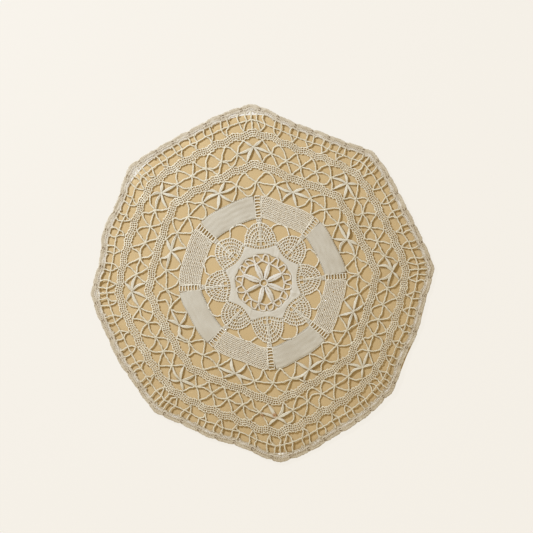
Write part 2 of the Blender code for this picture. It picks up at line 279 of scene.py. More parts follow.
class Piece:
    """Gathers lofts on the plan and makes them one mesh object."""

    def __init__(self, node, stretch=1.0):
        self.node = node
        self.stretch = stretch
        self.rng = np.random.default_rng(sum(map(ord, node)) * 7 + len(node))
        self.plan, self.height, self.quads, self.uvs, self.caps = [], [], [], [], []
        self.count = 0

    def loft(self, plan, height, u, v, closed=False):
        """Joins closed sections, one to a row. u marks the rows and v the points round a section, in mm."""
        rows, ring = plan.shape
        last = rows if closed else rows - 1
        i = np.arange(last)[:, None] + np.zeros(ring, int)
        j = np.arange(ring)[None] + np.zeros((last, 1), int)
        here, there = i * ring, (i + 1) % rows * ring
        after = (j + 1) % ring
        corners = np.stack([here + j, here + after, there + after, there + j], -1)
        self.quads.append(corners.reshape(-1, 4) + self.count)
        u_ends = np.append(u, 2 * u[-1] - u[-2])
        near, far = u_ends[i], u_ends[i + 1]
        uv = np.stack([near, v[j], near, v[j + 1], far, v[j + 1], far, v[j]], -1)
        self.uvs.append(uv.reshape(-1, 2))
        if not closed:
            ends = np.arange(ring)
            self.caps.append(self.count + ends[::-1])
            self.caps.append(self.count + (rows - 1) * ring + ends)
        self.plan.append(plan.ravel())
        self.height.append(height.ravel())
        self.count += plan.size

    def sweep(self, track, marks, across, height, half_wide, half_high, sides=8):
        """A thread of oval section along a track."""
        line = track.at(marks, across)
        if track.closed:
            ahead = np.roll(line, -1) - np.roll(line, 1)
        else:
            ahead = np.gradient(line)
        left = 1j * ahead / np.abs(ahead)
        angle = TAU * (np.arange(sides) + 0.5) / sides
        wide = (half_wide + 0 * marks)[:, None]
        high = (half_high + 0 * marks)[:, None]
        plan = line[:, None] + left[:, None] * wide * np.cos(angle)
        level = (height + 0 * marks)[:, None] + high * np.sin(angle)
        girth = np.pi * (np.mean(wide) + np.mean(high))
        self.loft(plan, level, marks, np.arange(sides + 1) / sides * girth, track.closed)

    def thread(self, points, height, half=0.45, high=None, spacing=1.1, sides=6, closed=False, sway=0.0):
        track = Track(points, closed)
        marks = track.steps(spacing)
        across = ripple(marks, 7.0, sway, self.rng) if sway else 0.0
        level = height if np.ndim(height) == 0 else np.interp(marks, track.length * height[0], height[1])
        self.sweep(track, marks, across, level, half, high or half * 0.8, sides)

    def plait(self, points, level=0.0, half=PLAIT_HALF, closed=False, sway=0.3):
        """A four-thread plait: flat, slightly beaded and never quite straight."""
        track = Track(points, closed)
        marks = track.steps(0.62)
        rng = self.rng
        across = ripple(marks, 9.0, sway, rng) + 0.12 * np.sin(TAU * marks / 3.1)
        beads = 1 + 0.08 * np.cos(TAU * marks / 1.55) + ripple(marks, 5.0, 0.06, rng)
        height = UNDER_TOP + PLAIT_HIGH + 0.35 + level + ripple(marks, 16.0, 0.3, rng)
        self.sweep(track, marks, across, height, half * beads, PLAIT_HIGH * beads)

    def leaf(self, start, tip, half, high, ribs=2, bend=0.0, level=0.0, blunt=0.15, full=1.0):
        """A woven leaf with a crease along its middle. It narrows to a blunt share of its width at both ends,
        and is the fuller in between the lower its last number is."""
        middle = (start + tip) / 2 + 1j * (tip - start) / abs(tip - start) * bend
        track = Track([start, middle, tip])
        marks = track.steps(0.7)
        share = marks / marks[-1]
        swell = blunt + (1 - blunt) * np.sin(np.pi * share**0.95) ** full
        sides = 24
        angle = TAU * (np.arange(sides) + 0.5) / sides
        across = np.cos(angle)
        groove = 1 - 0.42 * np.cos(np.pi * ribs * across) * (1 - across**2)
        line = track.at(marks)
        ahead = np.gradient(line)
        left = 1j * ahead / np.abs(ahead)
        wide = half * swell * (1 + ripple(marks, 6.0, 0.06, self.rng))
        plan = line[:, None] + left[:, None] * wide[:, None] * across
        tilt = self.rng.normal(0, 0.2) + self.rng.normal(0, 0.15) * np.cos(np.pi * share)[:, None]
        thick = high * (0.55 + 0.45 * swell)
        level = UNDER_TOP + high + 0.3 + level + 0.5 * np.sin(np.pi * share)[:, None]
        height = level + thick[:, None] * np.sin(angle) * groove + tilt * wide[:, None] * across
        self.loft(plan, height, marks, np.arange(sides + 1) / sides * 4)

    def cloth(self, marks, low_edge, high_edge, point_at, closed, columns, thick=0.9, pucker=0.06, **details):
        """Dense cloth between two edges. point_at(mark, across) gives the plan point. Its details can be the
        numbers that mark its rows for the material, and a relief(marks, share) that is added to its top."""
        share = (1 - np.cos(np.linspace(0, np.pi, columns))) / 2
        share = 0.35 * share + 0.65 * np.linspace(0, 1, columns)
        round_edge = np.sqrt(np.clip(1 - np.abs(2 * share - 1) ** 8, 0, 1))
        section = np.concatenate([share, share[-2:0:-1]])
        top = np.concatenate([round_edge, -round_edge[-2:0:-1]])
        low = (low_edge + 0 * marks)[:, None]
        high = (high_edge + 0 * marks)[:, None]
        across = high + (low - high) * section
        mark = marks[:, None] + 0 * across
        plan = point_at(mark, across)
        rng = self.rng
        waves = sum(
            np.sin(
                TAU * (across / rng.uniform(4, 9) + rng.random())
                + ripple(marks, 40, 0.8, rng)[:, None]
            )
            * (0.7 + ripple(marks, rng.uniform(25, 60), 0.6, rng)[:, None])
            for _ in range(3)
        )
        height = UNDER_TOP + 0.35 + thick / 2 + top * thick / 2 + pucker * waves + pucker
        if "relief" in details:
            height = height + details["relief"](mark, section)
        width = float(np.mean(np.abs(high - low)))
        around_section = np.concatenate([section[:columns], 2 - section[columns:], [2]]) * width
        self.loft(plan, height, details.get("rows", marks), around_section, closed)

    def finish(self, material):
        """Makes the mesh, in place of its CAD node."""
        plan = np.concatenate(self.plan)
        height = np.concatenate(self.height)
        if self.node != "under_cloth":
            height = height + lift(plan)
        points = lay(plan, height, self.stretch)
        quads = np.concatenate(self.quads)
        caps = self.caps
        corners = np.concatenate([quads.ravel(), *caps]) if caps else quads.ravel()
        sizes = np.concatenate([np.full(len(quads), 4), [len(cap) for cap in caps]]).astype(int)
        mesh = bpy.data.meshes.new(f"{self.node}_lace")
        mesh.vertices.add(len(points))
        mesh.vertices.foreach_set("co", points.ravel())
        mesh.loops.add(len(corners))
        mesh.loops.foreach_set("vertex_index", corners.astype(np.int32))
        mesh.polygons.add(len(sizes))
        mesh.polygons.foreach_set("loop_start", np.concatenate([[0], np.cumsum(sizes)[:-1]]).astype(np.int32))
        mesh.polygons.foreach_set("loop_total", sizes.astype(np.int32))
        mesh.polygons.foreach_set("use_smooth", np.ones(len(sizes), bool))
        uv = np.zeros((len(corners), 2))
        uv[: 4 * len(quads)] = np.concatenate(self.uvs)
        mesh.uv_layers.new(name="Thread").data.foreach_set("uv", uv.ravel())
        mesh.update(calc_edges=True)
        obj = bpy.data.objects.new(mesh.name, mesh)
        mesh.materials.append(material)
        bpy.context.scene.collection.objects.link(obj)
        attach(obj, "root")
        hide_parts(self.node)
        return obj


# How much more the edge lifts, evenly spaced round the cloth, and where the lace begins to lift.
CURL = (0.3, 0.9, 0.5, 1.6, 0.4, 0.8, 1.7, 0.6, 0.3, 1.2, 0.5, 0.9, 1.5, 0.4, 1.1, 0.7)
CURL_FROM = 190.0
CURL_WIDE = 30.0
LOOSE_FROM = 55.0
LOOSE_WIDE = 70.0


def edge_curl(plan):
    """The lace lies loose near its edge, which lifts a little here and there."""
    share = np.clip((np.abs(plan) - CURL_FROM) / CURL_WIDE, 0, 1)
    return (0.7 + around(CURL, bearing_of(plan))) * share**1.5


def lift(plan):
    """How far the lace stands off the under-cloth: hardly in the middle, and more in the slack nets."""
    loose = np.clip((np.abs(plan) - LOOSE_FROM) / LOOSE_WIDE, 0, 1)
    x, y = plan.real, plan.imag
    wander = np.sin(x / 13 + 1.3 * np.sin(y / 21)) + np.sin(y / 11 + 1.7 * np.sin(x / 17))
    return loose * (0.55 + 0.28 * wander) + edge_curl(plan)


# Materials.


def tune(node, **values):
    """Sets a node's sockets by their names, with _ for each space."""
    for name, value in values.items():
        node.inputs[name.replace("_", " ")].default_value = value


class Nodes:
    """Short names for the few shader nodes that the cloth needs."""

    def __init__(self, material):
        material.use_nodes = True
        self.tree = material.node_tree
        self.shader = self.tree.nodes["Principled BSDF"]

    def add(self, kind, **settings):
        node = self.tree.nodes.new(kind)
        for name, value in settings.items():
            setattr(node, name, value)
        return node

    def link(self, output, socket):
        self.tree.links.new(output, socket)

    def math(self, operation, first, second=0.0, third=0.0):
        node = self.add("ShaderNodeMath", operation=operation)
        for socket, value in zip(node.inputs, (first, second, third)):
            if isinstance(value, (int, float)):
                socket.default_value = value
            else:
                self.link(value, socket)
        return node.outputs[0]

    def times(self, first, second):
        return self.math("MULTIPLY", first, second)

    def plus(self, first, second):
        return self.math("ADD", first, second)

    def scaled(self, value, by, start):
        return self.math("MULTIPLY_ADD", value, by, start)

    def split(self, vector):
        node = self.add("ShaderNodeSeparateXYZ")
        self.link(vector, node.inputs["Vector"])
        return node.outputs["X"], node.outputs["Y"]

    def combine(self, x, y):
        node = self.add("ShaderNodeCombineXYZ")
        self.link(x, node.inputs["X"])
        self.link(y, node.inputs["Y"])
        return node.outputs["Vector"]

    def noise(self, vector, scale, detail=3.0):
        node = self.add("ShaderNodeTexNoise")
        tune(node, Scale=scale, Detail=detail)
        self.link(vector, node.inputs["Vector"])
        return node.outputs["Fac"]

    def mix(self, share, first, second):
        node = self.add("ShaderNodeMix", data_type="RGBA")
        self.link(share, node.inputs["Factor"])
        for socket, value in ((node.inputs["A"], first), (node.inputs["B"], second)):
            if isinstance(value, tuple):
                socket.default_value = (*value, 1)
            else:
                self.link(value, socket)
        return node.outputs["Result"]

    def spread(self, value, low, high):
        node = self.add("ShaderNodeMapRange", clamp=True)
        self.link(value, node.inputs["Value"])
        tune(node, From_Min=low, From_Max=high)
        return node.outputs["Result"]

    def patches(self, vector, scale, low, high, detail=3.0):
        return self.spread(self.noise(vector, scale, detail), low, high)

    def bump(self, height, strength, depth):
        """Gives the shader a height as relief. The depth is in metres."""
        relief = self.add("ShaderNodeBump")
        tune(relief, Strength=strength, Distance=depth)
        self.link(height, relief.inputs["Height"])
        self.link(relief.outputs["Normal"], self.shader.inputs["Normal"])


# Stains as (x, y, size).
STAIN_SPOTS = (
    (-3.0, -173.5, 3.2),
    (6.0, -175.5, 1.5),
    (14.0, -172.0, 2.8),
    (17.0, -172.5, 1.4),
    (-20.5, -90.5, 0.9),
    (-20.0, -77.5, 0.8),
)
# The tones of the threads as (light, middle), and the other colours that are mixed into them, painted shade
# among them.
LINEN_TONES = ((0.75, 0.705, 0.605), (0.66, 0.61, 0.505))
THREAD_TONES = ((0.835, 0.795, 0.665), (0.745, 0.70, 0.565))
STAR_TONES = ((0.67, 0.639, 0.54), (0.61, 0.573, 0.475))
CLOTH_TONES = ((0.59, 0.558, 0.46), (0.53, 0.492, 0.395))
TAPE_TONES = ((0.70, 0.65, 0.535), (0.51, 0.45, 0.34))
LEAF_TONES = ((0.72, 0.69, 0.60), (0.67, 0.64, 0.55))
BRAID_TONES = ((0.90, 0.845, 0.67), (0.81, 0.755, 0.585))
HALF_STITCH_TONES = ((0.88, 0.83, 0.68), (0.84, 0.785, 0.635))
NET_TONES = ((0.765, 0.72, 0.565), (0.675, 0.625, 0.475))
FLOWER_TONES = ((0.73, 0.695, 0.57), (0.66, 0.62, 0.50))
COTTON_TONES = ((0.635, 0.475, 0.247), (0.585, 0.43, 0.218))
# Painted shade where the weave's threads lie low, also mixed in for the uneven tone of slubs.
LINEN_SHADE_AND_SLUB = (0.44, 0.31, 0.16)
SWAG_LIGHT = (0.73, 0.69, 0.60)
RIM_DARK = (0.50, 0.42, 0.28)
STAIN = (0.42, 0.19, 0.05)
YELLOWED = (0.66, 0.57, 0.37)
# Painted shade for the tape's painted holes.
HOLE_SHADE = (0.16, 0.10, 0.045)
# Painted shade in a leaf's parted crease and in gaps of the edge tape.
CREASE_SHADE = (0.34, 0.25, 0.14)
# Painted shade in the hollows of the cotton weave, mixed with its fine speckle.
COTTON_SHADE_AND_SPECKLE = (0.35, 0.24, 0.10)
# How deep the relief is, in metres.
LINEN_DEPTH = 0.00025
COTTON_DEPTH = 0.00015
# The edge's length as its material counts it, and the pitch of its small holes.
EDGE_LONG = 1400.0
SCALLOP_LONG = EDGE_LONG / (SIDES * SCALLOPS)
EDGE_PITCH = 2.5


def linen(name, weave, hollow_shade, bump=0.45, tones=LINEN_TONES, patch=45.0, marked=None):
    """Natural linen. weave(n, u, v) gives the threads' height from 0 to 1, which also darkens the colour as
    painted shade where it is low, and marked() adds marks.
    """
    light, middle = tones
    material = bpy.data.materials.new(name)
    n = Nodes(material)
    spot = n.add("ShaderNodeTexCoord").outputs["Object"]
    uv = n.add("ShaderNodeUVMap", uv_map="Thread")
    u, v = n.split(uv.outputs["UV"])
    height = weave(n, u, v)
    blotch = n.patches(spot, patch, 0.35, 0.65)
    slub = n.patches(spot, 900.0, 0.3, 0.7, 2.0)
    colour = n.mix(yellowing(n, spot), n.mix(blotch, middle, light), YELLOWED)
    # Painted shade: the colour darkens where the weave lies low, and a little more at slubs.
    shade = n.times(n.math("SUBTRACT", 1.0, height), hollow_shade)
    shade = n.plus(shade, n.times(slub, 0.08))
    colour = n.mix(shade, colour, LINEN_SHADE_AND_SLUB)
    if marked:
        colour = marked(n, colour, spot, u, v)
    n.link(colour, n.shader.inputs["Base Color"])
    n.bump(n.plus(height, n.times(slub, 0.25)), bump, LINEN_DEPTH)
    tune(n.shader, Roughness=0.85, Specular_IOR_Level=0.2, Sheen_Weight=0.1)
    return material


def toward_near_side(n, spot):
    """From 0 at the far side of the cloth to 1 at the near side, a little to the right."""
    x, y = n.split(spot)
    slope = n.scaled(y, -1.3, n.times(x, 0.55))
    return n.spread(slope, -0.3, 0.25)


def yellowing(n, spot):
    """How far the linen has yellowed in the outer lace, with more yellow mixed in towards the near side."""
    length = n.add("ShaderNodeVectorMath", operation="LENGTH")
    n.link(spot, length.inputs[0])
    outer = n.spread(length.outputs["Value"], 0.1, 0.14)
    amount = n.scaled(toward_near_side(n, spot), 0.16, 0.15)
    return n.times(outer, amount)


def stained(n, colour, spot, u, v):
    """Small rusty stains."""
    level = n.add("ShaderNodeVectorMath", operation="MULTIPLY")
    n.link(spot, level.inputs[0])
    level.inputs[1].default_value = (1.0, 1.0, 0.0)
    streaks = n.patches(spot, 800.0, 0.35, 0.6, 2.0)
    for x, y, size in STAIN_SPOTS:
        gap = n.add("ShaderNodeVectorMath", operation="DISTANCE")
        n.link(level.outputs["Vector"], gap.inputs[0])
        gap.inputs[1].default_value = (x * MM, y * MM, 0.0)
        near = n.spread(gap.outputs["Value"], size * 1.5 * MM, size * 0.5 * MM)
        colour = n.mix(n.times(near, n.scaled(streaks, 0.5, 0.5)), colour, STAIN)
    return colour


def creased(n, colour, spot, u, v):
    """A dark line of painted shade along the middle of a leaf, where its two halves part here and there."""
    stretched = n.combine(n.times(u, 0.2), v)
    wander = n.scaled(n.noise(stretched, 1.3, 2.0), 0.6, -0.3)
    side = n.plus(v, wander)
    parted = n.patches(stretched, 0.8, 0.35, 0.5, 1.0)
    crease = n.times(beside(n, side, 0.95, 0.17), parted)
    return n.mix(n.times(n.spread(crease, 0.1, 0.7), 0.75), colour, CREASE_SHADE)


def beside(n, value, middle, half):
    """One at the middle, falling to nothing at half to either side."""
    gap = n.math("ABSOLUTE", n.math("SUBTRACT", value, middle))
    return n.spread(gap, half, 0.0)


def dotted(n, colour, spot, u, v):
    """The edge's brown rim and pale swags, its mottling and painted shade in gaps between its threads, both
    darker towards the near side, and two rows of small holes and two larger ones at a notch, painted as dark
    shade.
    """
    scallop = half_up(n, wave(n, u, SCALLOP_LONG, np.pi / 2))
    wander = n.scaled(n.noise(spot, 150.0), 2.4, -1.2)
    row = n.plus(n.math("SUBTRACT", v, n.times(scallop, 0.9)), wander)
    pale = n.scaled(scallop, 0.75, 0.15)
    colour = n.mix(n.times(n.spread(row, 3.5, 4.9), pale), colour, SWAG_LIGHT)
    colour = n.mix(n.times(beside(n, row, 1.8, 1.7), 0.35), colour, RIM_DARK)
    # The mottling and the painted shade in the gaps grow darker towards the near side.
    near_weight = toward_near_side(n, spot)
    mottled = n.patches(spot, 620.0, 0.42, 0.6, 2.0)
    colour = n.mix(n.times(mottled, n.scaled(near_weight, 0.5, 0.3)), colour, RIM_DARK)
    # Painted shade in small gaps between the tape's threads.
    gaps = n.patches(spot, 480.0, 0.57, 0.68, 1.0)
    colour = n.mix(n.times(gaps, n.scaled(near_weight, 0.3, 0.3)), colour, CREASE_SHADE)
    # The small and large holes are painted: dark painted shade where the cloth beneath would show in shadow.
    first = n.times(beside(n, row, 2.5, 0.95), half_up(n, wave(n, u, EDGE_PITCH)))
    second = n.times(beside(n, row, 4.9, 0.9), half_up(n, wave(n, u, EDGE_PITCH, 2.0)))
    at_notch = n.spread(half_up(n, wave(n, u, SCALLOP_LONG, -np.pi / 2)), 0.97, 0.995)
    large = n.times(n.math("MAXIMUM", beside(n, v, 1.5, 0.9), beside(n, v, 4.6, 0.9)), at_notch)
    patchy = n.patches(spot, 95.0, 0.3, 0.55)
    small = n.times(n.math("MAXIMUM", first, second), patchy)
    hole = n.math("MAXIMUM", n.spread(small, 0.3, 0.6), n.spread(large, 0.2, 0.45))
    return n.mix(n.times(hole, 0.95), colour, HOLE_SHADE)


def wave(n, value, pitch, phase=0.0):
    turn = n.scaled(value, TAU / pitch, phase)
    return n.math("SINE", turn)


def half_up(n, value):
    return n.scaled(value, 0.5, 0.5)


def plaited(n, u, v):
    """Threads that cross over each other in chevrons along a plait."""
    lean = n.times(n.math("ABSOLUTE", n.math("SUBTRACT", v, 1.6)), 0.9)
    return half_up(n, wave(n, n.plus(u, lean), 1.1))


def woven(n, u, v):
    """Plain weave: weavers over and under the threads that run along the band, some of them thicker."""
    over = n.times(wave(n, u, 1.3), wave(n, v, 1.1))
    cord = half_up(n, wave(n, v, 0.55))
    stretched = n.combine(n.times(u, 0.04), n.times(v, 0.9))
    streak = n.patches(stretched, 1.0, 0.3, 0.7, 4.0)
    fine = n.plus(n.times(half_up(n, over), 0.4), n.times(cord, 0.25))
    return n.plus(fine, n.times(streak, 0.35))


def twisted(n, u, v):
    """The twist of a single thread."""
    return half_up(n, wave(n, n.scaled(v, 0.8, u), 0.7))


def leaf_weave(n, u, v):
    """A leaf's lengthwise cords over its fine cross threads."""
    cord = half_up(n, wave(n, v, 0.4))
    fine = half_up(n, wave(n, u, 0.75))
    soft = n.plus(n.times(cord, 0.2), n.times(fine, 0.08))
    return n.plus(soft, 0.72)


def cotton():
    """The plain tan under-cloth, with painted shade in the hollows of its weave."""
    material = bpy.data.materials.new("tan_cotton_weave")
    n = Nodes(material)
    spot = n.add("ShaderNodeTexCoord").outputs["Object"]
    x, y = (n.times(axis, 1 / MM) for axis in n.split(spot))
    weave = half_up(n, n.times(wave(n, x, 0.9), wave(n, y, 0.8)))
    blotch = n.patches(spot, 14.0, 0.3, 0.7)
    light, middle = COTTON_TONES
    colour = n.mix(blotch, middle, light)
    fine = n.times(n.patches(spot, 1200.0, 0.3, 0.7, 2.0), 0.12)
    # Painted shade where the weave's threads lie low, mixed with a fine speckle.
    shade = n.plus(fine, n.times(n.math("SUBTRACT", 1.0, weave), 0.1))
    n.link(n.mix(shade, colour, COTTON_SHADE_AND_SPECKLE), n.shader.inputs["Base Color"])
    n.bump(weave, 0.35, COTTON_DEPTH)
    tune(n.shader, Roughness=0.9, Specular_IOR_Level=0.15)
    return material


PLAITED = linen("linen_plaited", plaited, 0.16)
LEAVES = linen("linen_leaves", leaf_weave, 0.5, 0.5, LEAF_TONES, marked=creased)
WOVEN = linen("linen_woven", woven, 0.14, 0.35, CLOTH_TONES)
STAR_WOVEN = linen("linen_star_woven", woven, 0.10, 0.35, STAR_TONES)
TAPE = linen("linen_tape", woven, 0.3, 0.7, TAPE_TONES, 170.0, dotted)
THREADS = linen("linen_threads", twisted, 0.12, 0.45, THREAD_TONES)
BRAIDS = linen("linen_braids", twisted, 0.08, 0.45, BRAID_TONES)
HALF_STITCH = linen("linen_half_stitch", twisted, 0.2, 0.45, HALF_STITCH_TONES, 60.0, stained)
NET_PLAITS = linen("linen_net_plaits", plaited, 0.16, 0.45, NET_TONES, marked=stained)
NET_LEAVES = linen("linen_net_leaves", leaf_weave, 0.3, 0.4, FLOWER_TONES, marked=stained)
COTTON = cotton()


# The pieces, from the middle outwards.


def make_under_cloth():
    piece = Piece("under_cloth", UNDER_STRETCH)
    bearings = FIRST_CORNER + np.arange(192) * 360 / 192
    outline = place(bearings, ring_radius(UNDER_EDGE, bearings)) + complex(*UNDER_SHIFT)
    share = np.array([0.003, 0.006, 0.2, 0.5, 0.8, 0.97, 0.996, 1.0, 0.996, 0.97, 0.6, 0.006, 0.003])
    level = np.array([1, 1, 1, 1, 1, 1, 0.93, 0.5, 0.07, 0.04, 0.04, 0.04, 0.04]) * UNDER_TOP
    plan = outline[:, None] * share
    height = np.broadcast_to(level, plan.shape)
    piece.loft(plan, height, bearings, np.append(share, share[0]) * UNDER_EDGE[0], closed=True)
    return piece.finish(COTTON)


def make_centre_flower():
    piece = Piece("centre_flower")
    turns = np.arange(16) * 22.5
    track = Track(place(turns, CENTRE_RING), closed=True)
    marks = track.steps(0.6)
    beads = CENTRE_RING_HALF * (1 + 0.12 * np.cos(TAU * marks / track.length * 12))
    piece.sweep(track, marks, 0.0, UNDER_TOP + 1.5, beads, 0.95, 10)
    for (bearing, radius), half in zip(LEAF_TIPS, LEAF_HALVES):
        bend = piece.rng.normal(0, 0.5)
        piece.leaf(place(bearing, LEAF_FROM), place(bearing, radius), half, 1.15, 4, bend, 0.0, 0.42, 0.65)
    return piece.finish(LEAVES)


def make_loop_ring():
    """A ring plait round the leaf tips, and a plait that loops out from it to the star and back."""
    piece = Piece("loop_ring")
    rng = piece.rng
    spots = sorted([*LEAF_TIPS, *LOOP_POINTS])
    knots = [place(*spot) for spot in spots]
    piece.plait(knots, 0.25, 1.15, closed=True, sway=0.1)
    for (first, near), (second, far) in zip(spots, spots[1:] + [(spots[0][0] + 360, spots[0][1])]):
        middle = (first + second) / 2
        top = STAR_HOLE - 0.7
        wide = rng.uniform(2.9, 4.0)
        lean = rng.normal(0, 0.9)
        loop = [
            place(first, near),
            local(middle, -wide - 0.6, 30.0),
            local(middle, -wide + 0.5 * lean, top - 3.2),
            local(middle, -0.72 * wide + lean, top - 0.9),
            local(middle, lean, top),
            local(middle, 0.72 * wide + lean, top - 0.9),
            local(middle, wide + 0.5 * lean, top - 3.2),
            local(middle, wide + 0.6, 30.0),
            place(second, far),
        ]
        piece.plait(loop, 0.1, 1.1, sway=0.08)
    return piece.finish(PLAITED)


# Creases of the star as (bearing, height).
STAR_FOLDS = ((108.0, 0.45), (115.0, -0.3), (27.0, 0.3), (18.0, -0.2), (330.0, 0.3), (205.0, 0.25))


def star_relief(bearing, share):
    """Soft creases that run across the star."""
    folds = 0
    for middle, height in STAR_FOLDS:
        gap = (bearing - middle + 180) % 360 - 180 + 3 * (share - 0.5)
        folds = folds + height * np.exp(-((gap / 2.0) ** 2))
    return folds


def make_star_band():
    piece = Piece("star_band")
    bearings = FIRST_CORNER + np.arange(432) * 360 / 432
    scallop = 0.55 * np.abs(np.sin(np.radians((bearings - FIRST_CORNER) * 8)))
    inner = STAR_HOLE - 0.4 + scallop + ripple(bearings, 40, 0.6, piece.rng)
    outer = star_radius(bearings) - 0.1
    rows = bearings * 0.75
    piece.cloth(
        bearings, outer, inner, lambda b, r: place(b, r), True, 18, pucker=0.09, rows=rows, relief=star_relief
    )
    return piece.finish(STAR_WOVEN)


FAN_OUTLINE = ((1.0, 0.0), (0.985, 0.16), (0.91, 0.42), (0.75, 0.67), (0.5, 0.86), (0.23, 0.965), (0.0, 1.0))
FAN_FOOT = 49.6
FAN_ARCHES = ((20.2, 26.6), (16.5, 21.7), (12.9, 16.8), (9.4, 12.0), (5.9, 7.2))
FAN_PITCH = 3.1
FAN_ARM = ((12.0, 70.6), (14.4, 75.6), (17.6, 78.6), (21.3, 79.9))


def make_fan(k):
    """A domed fan of nested arches joined by short bars, its side plaits and the ladder over it."""
    piece = Piece(f"fan_{k + 1}")
    rng = piece.rng
    middle = corner(k)
    level = UNDER_TOP + 0.85

    def turned(points):
        return np.asarray(points) * np.exp(-1j * np.radians(middle))

    def star_edge(x, above=0.0):
        """The point at a distance across the fan that is a little above the star's edge."""
        y = 45.0 + 0 * np.asarray(x, float)
        for _ in range(6):
            bearing = middle + np.degrees(np.arctan2(x, y))
            y = np.sqrt(np.maximum(star_radius(bearing) ** 2 - np.square(x), 1))
        return x + 1j * (y + above)

    lean = rng.normal(0, 0.7)
    arches = []
    for j, (wide, tall) in enumerate(FAN_ARCHES):
        half_arch = [wide * x + 1j * (FAN_FOOT + tall * y) for x, y in FAN_OUTLINE]
        arch = np.array(half_arch + [-point.conjugate() for point in half_arch[-2::-1]])
        arch = arch + lean * (arch.imag - FAN_FOOT) / 25
        foot = star_edge(np.array([wide, -wide]), 0.2 if j == 0 else 3.0)
        inside = arch[arch.imag > np.max(foot.imag) + 0.8]
        track = Track(np.concatenate([foot[:1], inside, foot[1:]]))
        arches.append(track)
        marks = track.steps(0.75)
        bumps = 0.45 * np.cos(TAU * marks / FAN_PITCH) if j == 0 else 0.0
        half = (0.85 if j == 0 else 0.74) + ripple(marks, 8, 0.1, rng)
        height = level + 0.15 * np.cos(TAU * marks / (2 * FAN_PITCH) + np.pi * j)
        line = Track(turned(track.line[::3]))
        marks = marks * line.length / track.length
        piece.sweep(line, marks, bumps + ripple(marks, 9, 0.25, rng), height, half, 0.5, 6)
    for outer, inner in zip(arches, arches[1:]):
        count = round((outer.length + inner.length) / 2 / FAN_PITCH)
        for share in (np.arange(count) + 0.5) / count:
            share += rng.normal(0, 0.12) / count
            ends = [line.centre(np.array(line.length * share)) for line in (outer, inner)]
            bar = [ends[0] + t * (ends[1] - ends[0]) for t in (-0.12, 0.5, 1.12)]
            piece.thread(turned(bar), level + 0.12 * rng.choice((-1, 1)), rng.uniform(0.5, 0.7), 0.42, 0.95)
    across = np.linspace(-19.8, 19.8, 24)
    piece.thread(turned(star_edge(across, 3.2)), level, 0.66, 0.45, 1.1, sway=0.15)
    for x in np.linspace(-18.0, 18.0, 12):
        foot = star_edge(x + rng.normal(0, 0.3), -0.2)
        piece.thread(turned([foot, foot + 1.8j, foot + 3.6j]), level + 0.1, rng.uniform(0.55, 0.7), 0.42, 0.9)
    for side in (-1, 1):
        rib = [side * 0.75 + lean * (y - FAN_FOOT) / 25 + 1j * y for y in np.linspace(47.0, 76.0, 9)]
        piece.thread(turned(rib), level + 0.3, 0.62, 0.55, 1.1, sway=0.15)
    _, tall = FAN_ARCHES[-1]
    for share in (0.25, 0.6):
        reach = FAN_ARCHES[-1][0] * (1 - 0.35 * share)
        rung = [x + 1j * (FAN_FOOT + tall * share + 1.5) for x in (-reach, 0.0, reach)]
        piece.thread(turned(rung), level + 0.2, 0.6, 0.45, 1.1)
    make_ladder(piece, middle, turned, level)
    for side in (-1, 1):
        arm = [place(middle + side * turn, radius) for turn, radius in FAN_ARM]
        arm[1:3] = [point + complex(*rng.normal(0, 0.7, 2)) for point in arm[1:3]]
        piece.plait(arm, 0.0, 0.95, sway=0.22)
    return piece.finish(THREADS)


LADDER_RUNGS = 7


def make_ladder(piece, middle, turned, level):
    inner = ring_radius(PANEL_INNER, middle)
    outer = ring_radius(PANEL_OUTER, middle)
    for x in (-2.5, -0.9, 0.9, 2.5):
        piece.thread(turned([x * 0.8 + 75.4j, x + 78.0j, x * 1.2 + 1j * (inner + 0.5)]), level, 0.58, 0.45)
    piece.thread(turned([-2.8 + 79.4j, 2.8 + 79.4j]), level + 0.2, 0.6, 0.4)
    side = LADDER_WIDE / 2 + 0.1
    for x in (-side, side):
        rail = [x + 1j * y for y in np.linspace(inner - 0.6, outer + 0.2, 8)]
        piece.thread(turned(rail), level + 0.1, 0.6, 0.5, 0.9, sway=0.12)
    pitch = (outer - inner) / LADDER_RUNGS
    for j in range(LADDER_RUNGS + 1):
        ends = inner + pitch * j + piece.rng.normal(0, 0.35, 3)
        rung = [-side + 1j * ends[0], 1j * ends[1], side + 1j * ends[2]]
        piece.thread(turned(rung), level + 0.15, 0.95 if j in (0, LADDER_RUNGS) else 0.85, 0.5, 0.9)


PANEL_STEP = 0.65
TOOTH_PITCH = 2.8


def panel_line(k, spacing):
    """One panel's middle line between its two ladders, marks along it, and half its width at each mark."""

    def panel_middle(bearing):
        return (ring_radius(PANEL_INNER, bearing) + ring_radius(PANEL_OUTER, bearing)) / 2

    margin = np.degrees((LADDER_WIDE / 2 + 0.3) / panel_middle(corner(k)))
    turns = np.linspace(corner(k) + margin, corner(k + 1) - margin, 15)
    track = Track(place(turns, panel_middle(turns)))
    marks = track.steps(spacing)
    bearing = bearing_of(track.centre(marks))
    return track, marks, (ring_radius(PANEL_OUTER, bearing) - ring_radius(PANEL_INNER, bearing)) / 2


def make_cloth_panel(k):
    """Cloth stitch: dense cloth with small loops along both edges, where its weavers turn."""
    piece = Piece(f"cloth_panel_{k // 2 + 1}")
    track, marks, half = panel_line(k, PANEL_STEP)
    tooth = TAU * marks / TOOTH_PITCH
    teeth = np.cos(tooth)
    low = -half + 0.4 - 0.45 * teeth
    high = half - 0.2 + 0.15 * teeth
    piece.cloth(marks, low, high, track.at, False, 26, pucker=0.09)
    level = UNDER_TOP + 0.85 + 0.2 * np.sin(tooth)
    piece.sweep(track, marks, -half - 0.55 * teeth, level, 0.5, 0.45, 6)
    piece.sweep(track, marks, half + 0.1 + 0.2 * teeth, level, 0.5, 0.45, 6)
    return piece.finish(WOVEN)


OPEN_PITCH = 1.85
OPEN_ROWS = 12


